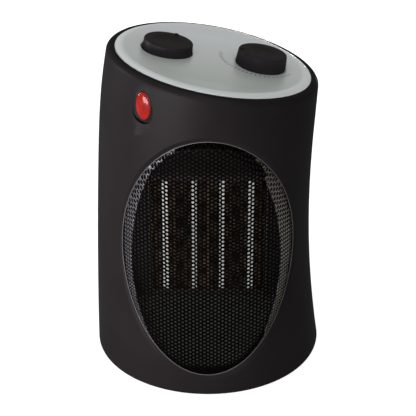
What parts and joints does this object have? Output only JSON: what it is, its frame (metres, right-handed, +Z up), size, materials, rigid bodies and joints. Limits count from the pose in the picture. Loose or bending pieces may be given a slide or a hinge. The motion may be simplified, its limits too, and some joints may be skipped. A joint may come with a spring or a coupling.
{
  "type": "ceramic space heater",
  "caption": "Upright ceramic fan heater: leaning black barrel, oval perforated outlet, sloped silver panel with two knobs and a red neon light.",
  "frame": {"origin": "middle of the base, on the floor that the rubber feet stand on", "axes": "+Z up, the air outlet faces -Y, +X towards the low side of the sloped panel"},
  "size_m": [0.1711, 0.1712, 0.2466],
  "materials": {
    "black_shell": "satin black moulding",
    "black_base": "fine textured black moulding",
    "foot_rubber": "matt black rubber",
    "silver_panel": "silver-grey satin paint",
    "grille_steel": "black enamelled perforated steel",
    "inner_plastic": "black heat-resistant moulding",
    "deflector_sheet": "dull grey sheet",
    "element_aluminium": "bright rolled",
    "ptc_ceramic": "dark sintered ceramic, metallised faces",
    "fin_aluminium": "heat-darkened folded strip",
    "heat_plastic": "dark brown phenolic",
    "terminal_brass": "tinned brass",
    "fan_plastic": "glass-filled black nylon",
    "shaft_steel": "ground",
    "rotor_steel": "turned",
    "stack_steel": "stacked sheets, varnished",
    "coil_winding": "varnished copper winding under tape",
    "bracket_steel": "zinc plated",
    "bearing_bronze": "sintered bronze",
    "black_knob": "satin black moulding",
    "shaft_plastic": "natural nylon",
    "shaft_brass": "turned",
    "switch_plastic": "black phenolic",
    "thermostat_ceramic": "unglazed steatite",
    "bimetal": "rolled strip",
    "screw_steel": "zinc plated",
    "red_lens": "translucent red, polished",
    "lamp_glass": "clear glass with an orange glow gas",
    "cutout_body": "pressed cap on a phenolic body",
    "fuse_body": "drawn can",
    "plunger_plastic": "natural nylon",
    "spring_steel": "drawn wire",
    "block_plastic": "white nylon",
    "bushing_rubber": "matt black rubber"
  },
  "bodies": {
    "heater": {"front_housing": "black_shell", "rear_housing": "black_shell", "base_plate": "black_base", "rubber_feet": "foot_rubber", "control_panel": "silver_panel", "front_grille": "grille_steel", "grille_retainer": "inner_plastic", "air_duct": "inner_plastic", "lower_deflector": "deflector_sheet", "upper_deflector": "deflector_sheet", "element_bars": "element_aluminium", "ptc_stones": "ptc_ceramic", "heater_fins": "fin_aluminium", "fin_separators": "element_aluminium", "element_sides": "element_aluminium", "element_end_caps": "heat_plastic", "element_terminals": "terminal_brass", "motor_stack": "stack_steel", "motor_coil": "coil_winding", "motor_front_bracket": "bracket_steel", "motor_rear_bracket": "bracket_steel", "motor_bearings": "bearing_bronze", "motor_mount": "inner_plastic", "selector_switch": "switch_plastic", "selector_terminals": "terminal_brass", "thermostat_body": "thermostat_ceramic", "bimetal_strip": "bimetal", "contact_blade": "terminal_brass", "control_screws": "screw_steel", "neon_lens": "red_lens", "neon_lamp": "lamp_glass", "lamp_holder": "heat_plastic", "thermal_cutout": "cutout_body", "thermal_fuse": "fuse_body", "tip_guide": "inner_plastic", "tip_spring": "spring_steel", "tip_microswitch": "switch_plastic", "terminal_block": "block_plastic", "terminal_screws": "screw_steel", "cord_bushing": "bushing_rubber", "housing_screws": "screw_steel", "base_screws": "screw_steel", "duct_screws": "screw_steel", "mount_screws": "screw_steel", "motor_screws": "screw_steel"},
    "fan": {"fan_impeller": "fan_plastic", "motor_shaft": "shaft_steel", "motor_rotor": "rotor_steel"},
    "selector": {"selector_knob": "black_knob", "selector_shaft": "shaft_plastic"},
    "thermostat": {"thermostat_knob": "black_knob", "thermostat_shaft": "shaft_brass"},
    "plunger": {"tip_plunger": "plunger_plastic"}
  },
  "joints": [
    {"name": "selector_turn", "type": "hinge", "parent": "heater", "child": "selector", "pos_m": [-0.02885, 0.0048, 0.23759], "axis": [0.1736, 0, 0.9848], "range_deg": [-135, 0]},
    {"name": "thermostat_turn", "type": "hinge", "parent": "heater", "child": "thermostat", "pos_m": [0.03762, 0.0048, 0.22587], "axis": [0.1736, 0, 0.9848], "range_deg": [-20, 150]},
    {"name": "fan_spin", "type": "hinge", "parent": "heater", "child": "fan", "pos_m": [0, 0.013, 0.1135], "axis": [0, 1, 0], "continuous": true},
    {"name": "tip_plunger_travel", "type": "slide", "parent": "heater", "child": "plunger", "axis": [0, 0, -1], "range_m": [0, 0.004], "stiffness_N_per_m": 120, "springref_m": 0.008, "deforming": ["tip_spring"]}
  ]
}
